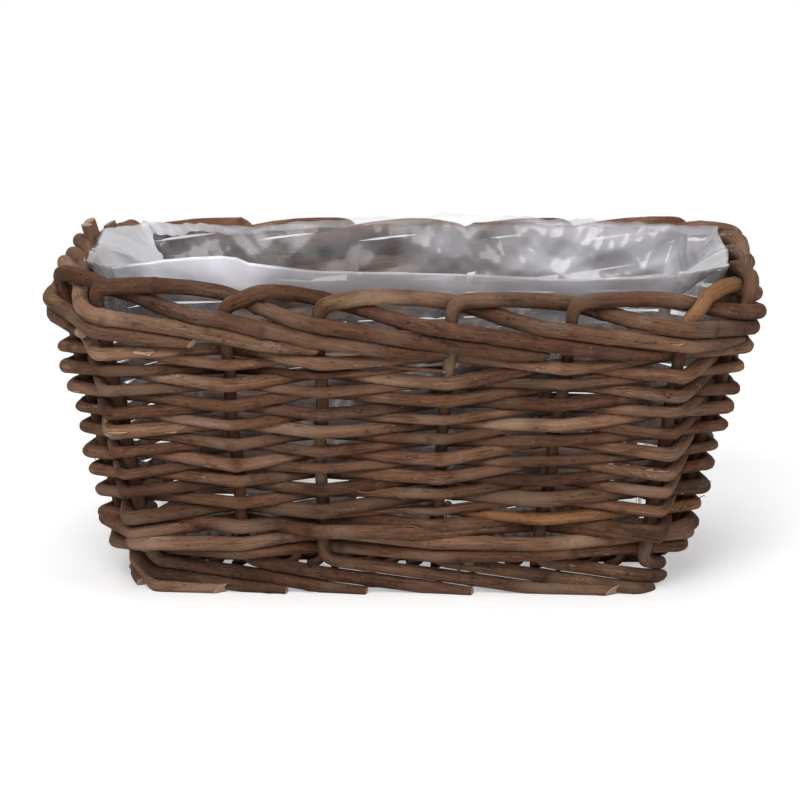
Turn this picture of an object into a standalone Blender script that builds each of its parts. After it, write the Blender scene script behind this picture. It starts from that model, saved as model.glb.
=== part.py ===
# Wicker planter: a rectangular willow basket with sloping walls and a film liner.
# The origin is on the ground under the middle of the basket, +Z is up and -Y is the front.
import math

import bmesh
import bpy
from mathutils import Vector

for old_object in list(bpy.data.objects):
    bpy.data.objects.remove(old_object, do_unlink=True)

# Sizes of the wall, measured to the middle of the stakes
foot_half_length = 0.1372
foot_half_width = 0.0600
rim_half_length = 0.1800
rim_half_width = 0.0905
wall_height = 0.1680
foot_offset = -0.0050
rim_lift = 0.0050

# Thickness of the rods and the play between two rods that touch
stake_radius = 0.0033
border_radius = 0.0037
wale_radius = 0.00285
base_stick_radius = 0.0030
base_weaver_radius = 0.0022
rod_play = 0.0003
row_play = 0.00060
butt_gap = 0.0017

# Bends of a stake: at the foot, at the rim and where a rod turns a corner
foot_bend = 0.0060
rim_bend = 0.0065
corner_bend = 0.0040

# Flat worn under each foot tail where the basket stands
worn_depth = 0.0004

# Woven base
base_height = 0.0143
base_pass_pitch = 0.0066
base_turn_depth = 0.0028
base_turn_rise = 0.0016

# Film liner
liner_thickness = 0.0004
liner_inset = 0.0124
liner_play = 0.0004
liner_stand = 0.0140
liner_fold_gap = 0.0012
liner_lip_length = 0.0280
liner_lip_fall = 0.0160

# Places of the stakes along each side, as shares of half that side; the front ones lean unevenly
front_foot_shares = (-0.915, -0.568, -0.276, 0.135, 0.521, 0.925)
front_stake_shares = (-0.875, -0.518, -0.242, 0.141, 0.488, 0.810)
right_stake_shares = (-0.62, -0.20, 0.22, 0.64)
back_stake_shares = (0.85, 0.50, 0.17, -0.18, -0.50, -0.84)
left_stake_shares = (0.62, 0.20, -0.22, -0.60)
base_stick_shares = (-0.68, -0.34, 0.0, 0.34, 0.68)

# How far the rim stands above or below its level at each stake, counted from the front left stake
rim_lift_shares = (0.7, 0.1, -0.45, -0.9, -1.0, -0.7, -0.2, 0.2, 0.4, 0.4,
                   0.3, 0.0, 0.0, 0.0, 0.0, -0.2, -0.2, 0.0, 0.3, 0.6)

# Path of a border rod: stakes passed, way out of the wall and fall, in rod thicknesses
border_path_shares = (
    (0.50, -0.30, 0.05),
    (0.75, -0.70, 0.25),
    (1.00, -1.00, 0.60),
    (1.25, -0.80, 1.05),
    (1.50, 0.08, 1.32),
    (1.75, 0.86, 1.58),
    (2.00, 1.00, 1.75),
    (3.00, 1.00, 2.85),
)
border_end_share = 3.46
border_end_spread_share = 0.10
border_fall_share = 1.10

# Path of a foot tail: it falls over this many stakes and then lies level on the ground
foot_level_share = 1.95
foot_end_share = 2.06
foot_fall_share = 1.13
wale_sink_share = 0.12

# How much of a full row the packing rods fill at each stake, counted from the front left stake
packing_low_shares = (0, 0, 0.34, 0.67, 1, 1, 1, 1, 1, 1, 1, 1, 0.67, 0.34, 0, 0, 0, 0, 0, 0)
packing_tip_share = 0.30
base_turn_share = 1.35

# Upper edge of the film at each stake, how far its folded lip reaches in and how far it hangs down
liner_edge_shares = (0.70, 1.00, 0.60, 0.50, 0.30, 0.50, 0.45, 0.55, 0.35, 0.50,
                     0.25, 0.40, 0.65, 0.45, 0.15, 0.25, 0.35, 0.25, 0.45, 0.50)
liner_lip_shares = (0.12, 0.12, 0.12, 0.12, 0.12, 0.21, 0.56, 0.75, 0.40, 0.18,
                    0.12, 0.12, 0.12, 0.12, 0.12, 0.16, 0.97, 0.95, 0.55, 0.20)
liner_fall_shares = (1.00, 1.00, 1.00, 0.80, 0.80, 1.00, 0.90, 0.90, 0.80, 0.40,
                     0.25, 0.25, 0.25, 0.25, 0.25, 0.40, 0.80, 0.95, 0.90, 0.90)

wale_count = 3
row_count = 18
packing_count = 2
rod_side_count = 6
row_start_count = 7
wale_start_count = 6

plan_shares = (
    [(share, -1.0) for share in front_stake_shares]
    + [(1.0, share) for share in right_stake_shares]
    + [(share, 1.0) for share in back_stake_shares]
    + [(-1.0, share) for share in left_stake_shares]
)
foot_plan_shares = [(share, -1.0) for share in front_foot_shares] + plan_shares[len(front_foot_shares):]
stake_count = len(plan_shares)
corner_stakes = {
    0,
    len(front_stake_shares) - 1,
    len(front_stake_shares),
    len(front_stake_shares) + len(right_stake_shares) - 1,
    len(front_stake_shares) + len(right_stake_shares),
    stake_count - len(left_stake_shares) - 1,
    stake_count - len(left_stake_shares),
    stake_count - 1,
}


# Colours of the rods and of the film
def make_material(name, colour, roughness, alpha):
    """One plain Principled material."""
    material = bpy.data.materials.new(name)
    material.use_nodes = True
    shader = material.node_tree.nodes["Principled BSDF"]
    shader.inputs["Base Color"].default_value = (*colour, 1.0)
    shader.inputs["Roughness"].default_value = roughness
    shader.inputs["Metallic"].default_value = 0.0
    shader.inputs["Alpha"].default_value = alpha
    material.diffuse_color = (*colour, alpha)
    return material


bark_brown = make_material("bark_brown", (0.145, 0.092, 0.060), 0.72, 1.0)
bark_grey = make_material("bark_grey", (0.190, 0.130, 0.092), 0.76, 1.0)
bark_dark = make_material("bark_dark", (0.085, 0.055, 0.040), 0.74, 1.0)
bark_orange = make_material("bark_orange", (0.270, 0.150, 0.075), 0.68, 1.0)
film = make_material("film", (0.780, 0.790, 0.810), 0.28, 0.45)


# Places on the sloping wall
def line_point(index, level):
    """Middle of a stake at a true level above the ground; the stake is straight."""
    share_x, share_y = foot_plan_shares[index % stake_count]
    foot = Vector((share_x * foot_half_length + foot_offset, share_y * foot_half_width, 0.0))
    share_x, share_y = plan_shares[index % stake_count]
    rim = Vector((share_x * rim_half_length, share_y * rim_half_width, wall_height))
    return foot.lerp(rim, level / wall_height)


def stake_point(index, height):
    """Middle of a stake at a height that follows the uneven rim: the rows spread or close up."""
    share = min(max((height - wale_top) / (border_low - wale_top), 0.0), 1.0)
    return line_point(index, height + rim_lift * rim_lift_shares[index % stake_count] * share)


def panel_normal(index, height):
    """Outward normal of the wall panel between a stake and the next one."""
    along = stake_point(index + 1, height) - stake_point(index, height)
    up_here = line_point(index, wall_height) - line_point(index, 0.0)
    up_there = line_point(index + 1, wall_height) - line_point(index + 1, 0.0)
    return along.cross(up_here + up_there).normalized()


def stake_normal(index, height):
    """Mitred normal at a stake, so that an equal way out gives parallel walls."""
    before = panel_normal(index - 1, height)
    after = panel_normal(index, height)
    level = Vector((before.x + after.x, before.y + after.y, 0.0))
    drop = Vector((0.0, 0.0, (before.z + after.z) * 0.5))
    reach = (1.0 - drop.dot(before + after) * 0.5) / (level.dot(before + after) * 0.5)
    return level * reach + drop


def wall_point(place, height, out):
    """Point of the wall: place counts stakes, out is the way from the middle of the wall."""
    index = math.floor(place)
    part = place - index
    middle = stake_point(index, height).lerp(stake_point(index + 1, height), part)
    normal = stake_normal(index, height).lerp(stake_normal(index + 1, height), part)
    return middle + normal * out


def stake_space(index, height):
    """Distance from a stake to the next one."""
    return (stake_point(index + 1, height) - stake_point(index, height)).length


# Round rods
def sweep_rod(name, points, radii, material, on_ground=False):
    """Rod along a bent line, mitred at each bend and cut square at both ends."""
    count = len(points)
    ways = [(points[i + 1] - points[i]).normalized() for i in range(count - 1)]
    side = ways[0].cross(Vector((0.0, 0.0, 1.0)))
    side.normalize()
    shape = bmesh.new()
    rings = []
    for i in range(count):
        way_in = ways[max(i - 1, 0)]
        way_out = ways[min(i, count - 2)]
        cut = (way_in + way_out).normalized()
        third = way_in.cross(side)
        ring = []
        for j in range(rod_side_count):
            turn = 2.0 * math.pi * (j + 0.5) / rod_side_count
            offset = (side * math.cos(turn) + third * math.sin(turn)) * radii[i]
            offset = offset - way_in * (offset.dot(cut) / way_in.dot(cut))
            ring.append(shape.verts.new(points[i] + offset))
        rings.append(ring)
        side = way_in.rotation_difference(way_out) @ side
        side = (side - way_out * side.dot(way_out)).normalized()
    for i in range(count - 1):
        for j in range(rod_side_count):
            k = (j + 1) % rod_side_count
            face = shape.faces.new((rings[i][j], rings[i][k], rings[i + 1][k], rings[i + 1][j]))
            face.smooth = True
    shape.faces.new(rings[0])
    shape.faces.new(rings[-1])
    if on_ground:
        cut_on_ground(shape)
    bmesh.ops.recalc_face_normals(shape, faces=shape.faces)
    return place_shape(name, shape, material)


def cut_on_ground(shape):
    """Take off what is below the ground and close the cut with a flat face."""
    everything = list(shape.verts) + list(shape.edges) + list(shape.faces)
    bmesh.ops.bisect_plane(
        shape,
        geom=everything,
        plane_co=(0.0, 0.0, 0.0),
        plane_no=(0.0, 0.0, -1.0),
        clear_outer=True,
    )
    open_edges = [edge for edge in shape.edges if edge.is_boundary]
    bmesh.ops.holes_fill(shape, edges=open_edges, sides=0)


def place_shape(name, shape, material):
    """Put a finished shape in the scene as one named object."""
    mesh = bpy.data.meshes.new(name)
    shape.to_mesh(mesh)
    shape.free()
    mesh.materials.append(material)
    placed = bpy.data.objects.new(name, mesh)
    bpy.context.scene.collection.objects.link(placed)
    return placed


# Stakes: foot tail, upright and border tail are one bent rod
foot_fall = (2.0 * stake_radius + rod_play) * foot_fall_share
foot_start = stake_radius - worn_depth + foot_fall * foot_level_share
border_step = 2.0 * border_radius + rod_play
border_low = wall_height - border_step * (
    border_path_shares[-1][2]
    + border_fall_share * (border_end_share + border_end_spread_share - border_path_shares[-1][0])
)


def make_stake(index, name, material):
    """Rod that starts on the ground to the right, rises as a stake and ends in the border."""
    points = []
    radii = []
    tail_shares = (foot_end_share, foot_level_share, 1.0)
    for share in tail_shares:
        height = max(foot_start - foot_fall * share, stake_radius - worn_depth)
        points.append(wall_point(index + share, height, 0.0))
        radii.append(stake_radius)
    near = foot_bend / stake_space(index, foot_start)
    points.append(wall_point(index + near, foot_start - foot_fall * near, 0.0))
    points.append(wall_point(index + near * 0.25, foot_start + foot_bend * 0.25, 0.0))
    points.append(stake_point(index, foot_start + foot_bend))
    radii.extend([stake_radius] * 3)
    points.append(stake_point(index, wale_top))
    points.append(stake_point(index, border_low))
    radii.extend([stake_radius] * 2)
    near = rim_bend / stake_space(index, wall_height)
    points.append(stake_point(index, wall_height - rim_bend))
    points.append(wall_point(index + near * 0.28, wall_height - rim_bend * 0.28, 0.0))
    points.append(wall_point(index + near, wall_height, 0.0))
    radii.extend([border_radius] * 3)
    for passed, out, fall in border_path_shares:
        points.append(wall_point(index + passed, wall_height - border_step * fall, border_step * out))
        radii.append(border_radius)
    end = border_end_share + border_end_spread_share * math.sin(row_start_count * index)
    passed, out, fall = border_path_shares[-1]
    fall = fall + border_fall_share * (end - passed)
    points.append(wall_point(index + end, wall_height - border_step * fall, border_step * out))
    radii.append(border_radius)
    return sweep_rod(name, points, radii, material, on_ground=True)


# Woven rows: each is one rod laid round the stakes with its two ends behind one stake
def line_distance(start, end, index):
    """Shortest distance from a straight piece of rod to the middle line of a stake."""
    foot = line_point(index, 0.0)
    rise = (line_point(index, wall_height) - foot).normalized()
    near = start - foot
    near = near - rise * near.dot(rise)
    way = end - start
    way = way - rise * way.dot(rise)
    share = min(max(-near.dot(way) / way.dot(way), 0.0), 1.0)
    return (near + way * share).length


def row_points(first, last, heights, sides_out, radii):
    """Bent line of a row; every pass is moved out until it clears its stake."""
    outs = {i: (stake_radius + radii[i] + rod_play) * sides_out[i] for i in range(first, last + 1)}
    for attempt in range(8):
        line = row_line(first, last, heights, outs, radii)
        for i in range(first, last + 1):
            need = stake_radius + radii[i] + rod_play
            near = [k for k in range(len(line)) if line[k][0] == i]
            gap = need * 4.0
            for k in range(max(near[0] - 1, 0), min(near[-1] + 1, len(line) - 1)):
                gap = min(gap, line_distance(line[k][1], line[k + 1][1], i))
            if gap < need:
                outs[i] = outs[i] * (need / gap)
    return row_line(first, last, heights, outs, radii), outs


def row_line(first, last, heights, outs, radii):
    """Vertices of a row: one at each stake, two where it bends round a corner stake outside."""
    line = []
    for i in range(first, last + 1):
        if i == first or i == last:
            way = 1.0 if i == first else -1.0
            near = way * butt_gap / stake_space(i if i == first else i - 1, heights[i])
            line.append((i, wall_point(i + near, heights[i], outs[i]), radii[i]))
        elif i % stake_count in corner_stakes and outs[i] > 0.0:
            before = corner_bend / stake_space(i - 1, heights[i])
            after = corner_bend / stake_space(i, heights[i])
            line.append((i, wall_point(i - before, heights[i], outs[i]), radii[i]))
            line.append((i, wall_point(i + after, heights[i], outs[i]), radii[i]))
        else:
            line.append((i, wall_point(i, heights[i], outs[i]), radii[i]))
    return line


def lay_row(name, first, last, heights, sides_out, radii, material):
    """One woven rod."""
    line, outs = row_points(first, last, heights, sides_out, radii)
    sweep_rod(name, [item[1] for item in line], [item[2] for item in line], material)


# Wale: rods before two stakes and behind one, just above the foot tails
wale_pitch = 2.0 * wale_radius + rod_play
wale_bottom = foot_start - foot_fall * wale_sink_share + stake_radius + rod_play
wale_top = wale_bottom + wale_count * wale_pitch


def lay_wale():
    """The wale rods, each one stake further on than the rod below."""
    for number in range(wale_count):
        first = wale_start_count * number
        while (first + number) % 3 != 2 or first % stake_count in corner_stakes:
            first = first + 1
        last = first + stake_count
        height = wale_bottom + wale_pitch * (number + 0.5)
        heights = {i: height for i in range(first, last + 1)}
        sides = {i: -1.0 if (i + number) % 3 == 2 else 1.0 for i in range(first, last)}
        sides[last] = -1.0
        radii = {i: wale_radius for i in range(first, last + 1)}
        material = (bark_brown, bark_grey, bark_dark)[number % 3]
        lay_row("wale_rod_%d" % (number + 1), first, last, heights, sides, radii, material)


# Weave: plain rows in front of one stake and behind the next, with two pairs of packing rods
row_zone = border_low - border_radius - rod_play - wale_top
row_pitch = row_zone / row_count
weaver_radius = (row_pitch - row_play) * 0.5
full_count = row_count - packing_count


def row_layers():
    """List of rows from the bottom: kind and how much of a full row each fills at a stake."""
    low = list(packing_low_shares)
    high = [1.0 - share for share in packing_low_shares]
    full = [1.0] * stake_count
    layers = [("full", full)]
    layers.extend([("packing", low)] * packing_count)
    layers.extend([("full", full)] * (full_count - 2))
    layers.extend([("packing", high)] * packing_count)
    layers.append(("full", full))
    return layers


def packing_span(shares):
    """First and last stake of a packing rod; it ends where it has become thin."""
    first = 0
    while shares[first % stake_count] >= packing_tip_share:
        first = first + 1
    while shares[first % stake_count] < packing_tip_share:
        first = first + 1
    last = first
    while shares[(last + 1) % stake_count] >= packing_tip_share:
        last = last + 1
    return first, last


def lay_weave():
    """All rows of the weave, from the bottom up."""
    layers = row_layers()
    fills = [0.0] * stake_count
    full_number = 0
    packing_number = 0
    for number in range(len(layers)):
        kind, shares = layers[number]
        if kind == "full":
            first = (number * row_start_count) % stake_count
            while (first + number) % 2 == 1 or first % stake_count in corner_stakes:
                first = first + 1
            last = first + stake_count
            full_number = full_number + 1
            name = "weave_row_%02d" % full_number
        else:
            first, last = packing_span(shares)
            packing_number = packing_number + 1
            name = "packing_rod_%d" % packing_number
        heights = {}
        radii = {}
        sides = {}
        for i in range(first, last + 1):
            share = shares[i % stake_count]
            layer = fills[i % stake_count] + 0.5 * share
            heights[i] = wale_top + row_pitch * layer
            radii[i] = weaver_radius * share
            sides[i] = -1.0 if (i + number) % 2 == 0 else 1.0
        material = (bark_brown, bark_grey, bark_brown, bark_dark)[(number * 3) % 4]
        if kind == "packing" and packing_number == 1:
            material = bark_orange
        lay_row(name, first, last, heights, sides, radii, material)
        for i in range(stake_count):
            fills[i] = fills[i] + shares[i]


# Woven base: lengthwise sticks and one long rod woven across them
base_need = base_stick_radius + base_weaver_radius + rod_play
base_space = (base_stick_shares[1] - base_stick_shares[0]) * foot_half_width
base_rise = base_need * base_space / math.sqrt(base_space ** 2 - 4.0 * base_need ** 2)
base_bow = base_weaver_radius * math.sqrt(1.0 + (2.0 * base_rise / base_space) ** 2)
base_top = base_height + base_rise + base_bow
base_middle = foot_offset * (1.0 - base_height / wall_height)


def inner_reach_x(y, height, out, side):
    """How far the space inside the wall goes to one side, at one place across."""
    best = rim_half_length * 2.0
    for index in range(stake_count):
        start = wall_point(index, height, out)
        end = wall_point(index + 1, height, out)
        low, high = min(start.y, end.y), max(start.y, end.y)
        if low < y <= high and start.x * side > 0.0:
            reach = start.x + (end.x - start.x) * (y - start.y) / (end.y - start.y)
            best = min(best, reach * side)
    return best * side


def inner_reach_y(x, height, out):
    """Half width of the space inside the wall at one place along."""
    best = rim_half_width * 2.0
    for index in range(stake_count):
        start = wall_point(index, height, out)
        end = wall_point(index + 1, height, out)
        low, high = min(start.x, end.x), max(start.x, end.x)
        if low < x <= high:
            reach = start.y + (end.y - start.y) * (x - start.x) / (end.x - start.x)
            best = min(best, abs(reach))
    return best


def lay_base_sticks():
    """Lengthwise sticks that end against the foot tails; gives the room left between their ends."""
    under = base_height - base_stick_radius
    out = -(stake_radius + rod_play)
    room = rim_half_length
    for number, share in enumerate(base_stick_shares):
        y = share * foot_half_width
        edge_y = y + math.copysign(base_stick_radius, y)
        right = min(inner_reach_x(edge_y, under, out, 1.0), inner_reach_x(-edge_y, under, out, 1.0))
        left = max(inner_reach_x(edge_y, under, out, -1.0), inner_reach_x(-edge_y, under, out, -1.0))
        points = [Vector((left, y, base_height)), Vector((right, y, base_height))]
        radii = [base_stick_radius] * 2
        sweep_rod("base_stick_%d" % (number + 1), points, radii, bark_dark)
        room = min(room, right - base_middle, base_middle - left)
    return room


def lay_base_weaver(room):
    """One long rod woven to and fro across the sticks, turning round the outer two."""
    edge_out = -(stake_radius + rod_play + base_weaver_radius * base_turn_share)
    under = base_height - base_weaver_radius
    outer_edge = base_stick_shares[-1] * foot_half_width + base_need + base_turn_depth
    room = room - base_weaver_radius * 4.0
    reach_at = {side: inner_reach_y(base_middle + room * side, under, edge_out) for side in (-1.0, 1.0)}
    while min(reach_at.values()) < outer_edge:
        room = room - base_pass_pitch * 0.5
        reach_at = {side: inner_reach_y(base_middle + room * side, under, edge_out) for side in (-1.0, 1.0)}
    passes = 2 * math.floor(room / base_pass_pitch) + 1
    points = []
    for number in range(passes):
        x = base_middle + base_pass_pitch * (number - (passes - 1) / 2)
        order = list(range(len(base_stick_shares)))
        if number % 2 == 1:
            order.reverse()
        for stick in order:
            over = 1.0 if (stick + number) % 2 == 0 else -1.0
            y = base_stick_shares[stick] * foot_half_width
            points.append(Vector((x, y, base_height + base_rise * over)))
        if number < passes - 1:
            next_x = x + base_pass_pitch
            reach = min(inner_reach_y(x, under, edge_out), inner_reach_y(next_x, under, edge_out))
            way = -1.0 if number % 2 == 1 else 1.0
            over = 1.0 if (order[-1] + number) % 2 == 0 else -1.0
            near = way * (reach - base_turn_depth)
            points.append(Vector((x, near, base_height + base_turn_rise * over)))
            points.append(Vector((x + base_pass_pitch * 0.5, way * reach, base_height)))
            points.append(Vector((next_x, near, base_height - base_turn_rise * over)))
    radii = [base_weaver_radius] * len(points)
    sweep_rod("base_weaver", points, radii, bark_brown)


# Liner: thin film bag open at the top, standing on the base, its edge folded over to the inside
def film_profile(index):
    """Outer and inner line of the film at a stake, as pairs of inset and level, both from the floor."""
    floor = base_top + liner_play
    top = wall_height + liner_stand * liner_edge_shares[index]
    lip_in = max(liner_lip_length * liner_lip_shares[index], liner_fold_gap + 2.0 * liner_thickness)
    lip_down = liner_lip_fall * liner_fall_shares[index]
    crest = liner_inset + liner_fold_gap + liner_thickness
    reach = math.hypot(liner_inset + lip_in - crest, lip_down)
    way_in = (liner_inset + lip_in - crest) / reach
    way_down = lip_down / reach
    under_in = liner_inset + lip_in - way_down * liner_thickness
    under_level = top - lip_down - way_in * liner_thickness
    crest_level = top - liner_thickness
    crest_in = under_in - way_in * (crest_level - under_level) / way_down
    outer = (
        (liner_inset, floor),
        (liner_inset, top),
        (crest, top),
        (liner_inset + lip_in, top - lip_down),
    )
    inner = (
        (liner_inset + liner_thickness, floor + liner_thickness),
        (liner_inset + liner_thickness, crest_level),
        (crest_in, crest_level),
        (under_in, under_level),
    )
    return outer, inner


def lay_liner():
    """Closed shell of film: floor, wall, crest and lip, the same again on the other face."""
    shape = bmesh.new()
    profiles = [film_profile(index) for index in range(stake_count)]
    sheets = []
    for face in range(2):
        rings = []
        for line in range(4):
            ring = []
            for index in range(stake_count):
                inset, level = profiles[index][face][line]
                point = line_point(index, level) + stake_normal(index, border_low) * (-inset)
                point.z = level
                ring.append(shape.verts.new(point))
            rings.append(ring)
        sheets.append(rings)
    outer, inner = sheets
    pairs = [(outer[k], outer[k + 1]) for k in range(3)]
    pairs.extend([(inner[k], inner[k + 1]) for k in range(3)])
    pairs.append((outer[3], inner[3]))
    for lower, upper in pairs:
        for index in range(stake_count):
            after = (index + 1) % stake_count
            shape.faces.new((lower[index], lower[after], upper[after]))
            shape.faces.new((lower[index], upper[after], upper[index]))
    shape.faces.new(list(reversed(outer[0])))
    shape.faces.new(inner[0])
    bmesh.ops.recalc_face_normals(shape, faces=shape.faces)
    place_shape("liner", shape, film)


side_names = (
    ["front_%d" % (i + 1) for i in range(len(front_stake_shares))]
    + ["right_%d" % (i + 1) for i in range(len(right_stake_shares))]
    + ["back_%d" % (i + 1) for i in range(len(back_stake_shares))]
    + ["left_%d" % (i + 1) for i in range(len(left_stake_shares))]
)
stake_materials = (bark_brown, bark_grey, bark_brown, bark_dark, bark_grey)
for stake_index in range(stake_count):
    stake_name = "stake_" + side_names[stake_index]
    make_stake(stake_index, stake_name, stake_materials[(stake_index * 3) % len(stake_materials)])
lay_wale()
lay_weave()
lay_base_weaver(lay_base_sticks())
lay_liner()
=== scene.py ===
import math
from functools import partial

import bpy
import numpy as np
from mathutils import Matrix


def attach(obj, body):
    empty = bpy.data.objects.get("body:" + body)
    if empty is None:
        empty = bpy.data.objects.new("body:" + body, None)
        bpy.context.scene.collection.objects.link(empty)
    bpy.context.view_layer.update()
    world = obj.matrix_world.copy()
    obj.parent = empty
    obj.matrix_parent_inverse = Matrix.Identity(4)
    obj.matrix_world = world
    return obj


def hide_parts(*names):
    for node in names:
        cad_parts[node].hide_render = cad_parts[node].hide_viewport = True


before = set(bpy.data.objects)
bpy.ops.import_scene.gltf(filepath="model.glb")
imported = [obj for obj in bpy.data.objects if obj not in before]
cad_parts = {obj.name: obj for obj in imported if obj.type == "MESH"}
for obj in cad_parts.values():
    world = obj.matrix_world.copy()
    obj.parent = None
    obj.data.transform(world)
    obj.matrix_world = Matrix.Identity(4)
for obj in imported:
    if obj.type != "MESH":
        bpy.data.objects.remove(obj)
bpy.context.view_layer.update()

# View: the basket stands with its long front side towards the camera, which looks down at it
# from a little above the rim and almost straight on. The focal length is in pixels of the photo.
photo_width_pixels = 800
photo_focal_pixels = 3627.2
view_angle_down = 0.2352
view_turn = 0.0196
view_side = 0.0333
view_height = 0.5449
view_distance = 1.9


def put_in_scene(name, data):
    """New object at the origin of the scene."""
    thing = bpy.data.objects.new(name, data)
    bpy.context.scene.collection.objects.link(thing)
    return thing


camera_data = bpy.data.cameras.new("view")
camera_data.sensor_width = 36.0
camera_data.lens = photo_focal_pixels / photo_width_pixels * camera_data.sensor_width
camera_data.clip_end = 50.0
camera = put_in_scene("view", camera_data)
camera.location = (view_side, -view_distance, view_height)
camera.rotation_euler = (math.pi / 2 - view_angle_down, 0.0, view_turn)
bpy.context.scene.camera = camera


# Stakes: twenty unpeeled willow rods. Each lies on the ground as a foot tail, turns up as
# an upright of the wall, hooks over at the rim and runs down through the border.
foot_half_length = 0.1372
foot_half_width = 0.0600
rim_half_length = 0.1800
rim_half_width = 0.0905
wall_height = 0.1680
foot_offset = -0.0050
rim_lift = 0.0050
stake_radius = 0.0033
border_radius = 0.0037
rod_play = 0.0003
worn_depth = 0.0004
border_end_share = 3.46
border_end_spread_share = 0.10
border_third_fall = 2.85
border_fall_share = 1.10
foot_fall_share = 1.13
foot_level_share = 1.95
wale_count = 3
wale_radius = 0.00285
wale_sink_share = 0.12
front_foot_shares = (-0.915, -0.568, -0.276, 0.135, 0.521, 0.925)
front_stake_shares = (-0.875, -0.518, -0.242, 0.141, 0.488, 0.810)
right_stake_shares = (-0.62, -0.20, 0.22, 0.64)
back_stake_shares = (0.85, 0.50, 0.17, -0.18, -0.50, -0.84)
left_stake_shares = (0.62, 0.20, -0.22, -0.60)
rim_lift_shares = np.array((0.7, 0.1, -0.45, -0.9, -1.0, -0.7, -0.2, 0.2, 0.4, 0.4,
                            0.3, 0.0, 0.0, 0.0, 0.0, -0.2, -0.2, 0.0, 0.3, 0.6))
stake_names = ["%s_%d" % (side, number + 1)
               for side, count in (("front", 6), ("right", 4), ("back", 6), ("left", 4))
               for number in range(count)]
corner_stakes = (0, 5, 6, 9, 10, 15, 16, 19)


def stake_places(front_shares, half_length, half_width, height):
    """Places at a height, from the front left on: shares times the half length and half width."""
    shares = ([(x, -1.0) for x in front_shares] + [(1.0, y) for y in right_stake_shares]
              + [(x, 1.0) for x in back_stake_shares] + [(-1.0, y) for y in left_stake_shares])
    return np.c_[np.array(shares) * (half_length, half_width), np.full(20, height)]


foot_places = stake_places(front_foot_shares, foot_half_length, foot_half_width, 0.0)
foot_places[:, 0] += foot_offset
rim_places = stake_places(front_stake_shares, rim_half_length, rim_half_width, wall_height)
stake_rises = rim_places - foot_places
border_step = 2 * border_radius + rod_play
border_end_fall = border_third_fall + border_fall_share * (border_end_share + border_end_spread_share - 3.00)
border_low = wall_height - border_step * border_end_fall
foot_fall = (2 * stake_radius + rod_play) * foot_fall_share
foot_start = stake_radius - worn_depth + foot_fall * foot_level_share
wale_pitch = 2 * wale_radius + rod_play
wale_bottom = foot_start - foot_fall * wale_sink_share + stake_radius + rod_play
wale_top = wale_bottom + wale_count * wale_pitch


def ramp(value, start, length):
    """0 up to a start, 1 from a length past it on, and an even rise between the two. With a
    negative length it runs the other way."""
    return np.clip((value - start) / length, 0, 1)


def on_stake(number, height):
    """Point of a stake at a height: foot and rim places joined by a straight line. Above the
    wale the heights are stretched or closed up, so that they follow the uneven rim."""
    lift = rim_lift * rim_lift_shares[number % 20] * ramp(height, wale_top, border_low - wale_top)
    return foot_places[number % 20] + stake_rises[number % 20] * ((height + lift) / wall_height)[..., None]


def panel_facing(number, height):
    """Outward unit normal between two stakes: the way along crossed with their way up."""
    along = on_stake(number + 1, height) - on_stake(number, height)
    facing = np.cross(along, stake_rises[number % 20] + stake_rises[(number + 1) % 20])
    return facing / np.linalg.norm(facing, axis=-1, keepdims=True)


def stake_facing(number, height):
    """Mitred normal at a stake. Its height is half that of the two panel normals' sum, and its
    level part is made so long that one step along it is one step out from both panels."""
    both = panel_facing(number - 1, height) + panel_facing(number, height)
    level = both * (1.0, 1.0, 0.0)
    drop = both * (0.0, 0.0, 0.5)
    reach = (1.0 - (drop * both).sum(-1) / 2) / ((level * both).sum(-1) / 2)
    return level * reach[..., None] + drop


def on_wall(place, height, out):
    """Point of the sloping wall and its outward way; place counts stakes from the front left,
    and between two stakes both are mixed in proportion."""
    place, height, out = np.broadcast_arrays(place, height, out)
    number = np.floor(place).astype(int)
    part = (place - number)[..., None]
    spot = on_stake(number, height) * (1 - part) + on_stake(number + 1, height) * part
    facing = stake_facing(number, height) * (1 - part) + stake_facing(number + 1, height) * part
    return spot + facing * out[..., None], facing


def filled_in(stops, count):
    """A bent line given by a few stops, with count steps of equal length between each two."""
    stops = np.array(stops, float)
    at = np.linspace(0, len(stops) - 1, (len(stops) - 1) * count + 1)
    return np.stack([np.interp(at, np.arange(len(stops)), column) for column in stops.T], 1)


def length_along(points):
    """Way along a line up to each of its points: the sum of the straight steps before it."""
    return np.r_[0, np.cumsum(np.linalg.norm(np.diff(points, axis=0), axis=1))]


def eased(rows, step, round_over):
    """Rows that start with x, y, z, spaced evenly along their line. Each is then the bell-weighted
    mean of its neighbours within about round_over, so that every bend is rounded off. Past its
    ends the line goes on as its own mirror image."""
    way = length_along(rows[:, :3])
    even = np.linspace(0, way[-1], int(way[-1] / step) + 2)
    rows = np.stack([np.interp(even, way, column) for column in rows.T], 1)
    reach = min(int(3 * round_over / step) + 1, len(rows) - 1)
    weights = np.exp(-0.5 * (np.arange(-reach, reach + 1) * step / round_over) ** 2)
    before = 2 * rows[0] - rows[reach:0:-1]
    after = 2 * rows[-1] - rows[-2:-reach - 2:-1]
    padded = np.concatenate([before, rows, after])
    return np.stack([np.convolve(column, weights / weights.sum(), "valid") for column in padded.T], 1)


def slow_wave(way, length, chance):
    """Sum of four sine waves of random length round the given one, between about -1 and 1."""
    total = np.zeros_like(way)
    for wave in range(4):
        pitch = length * (0.6 + 0.9 * chance.random())
        total += np.sin(way * (2 * math.pi / pitch) + chance.random() * 7) * (0.35 + 0.2 * chance.random())
    return total * 0.75


def unit(rows):
    """Every row divided by its length."""
    return rows / np.linalg.norm(rows, axis=-1, keepdims=True)


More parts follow.
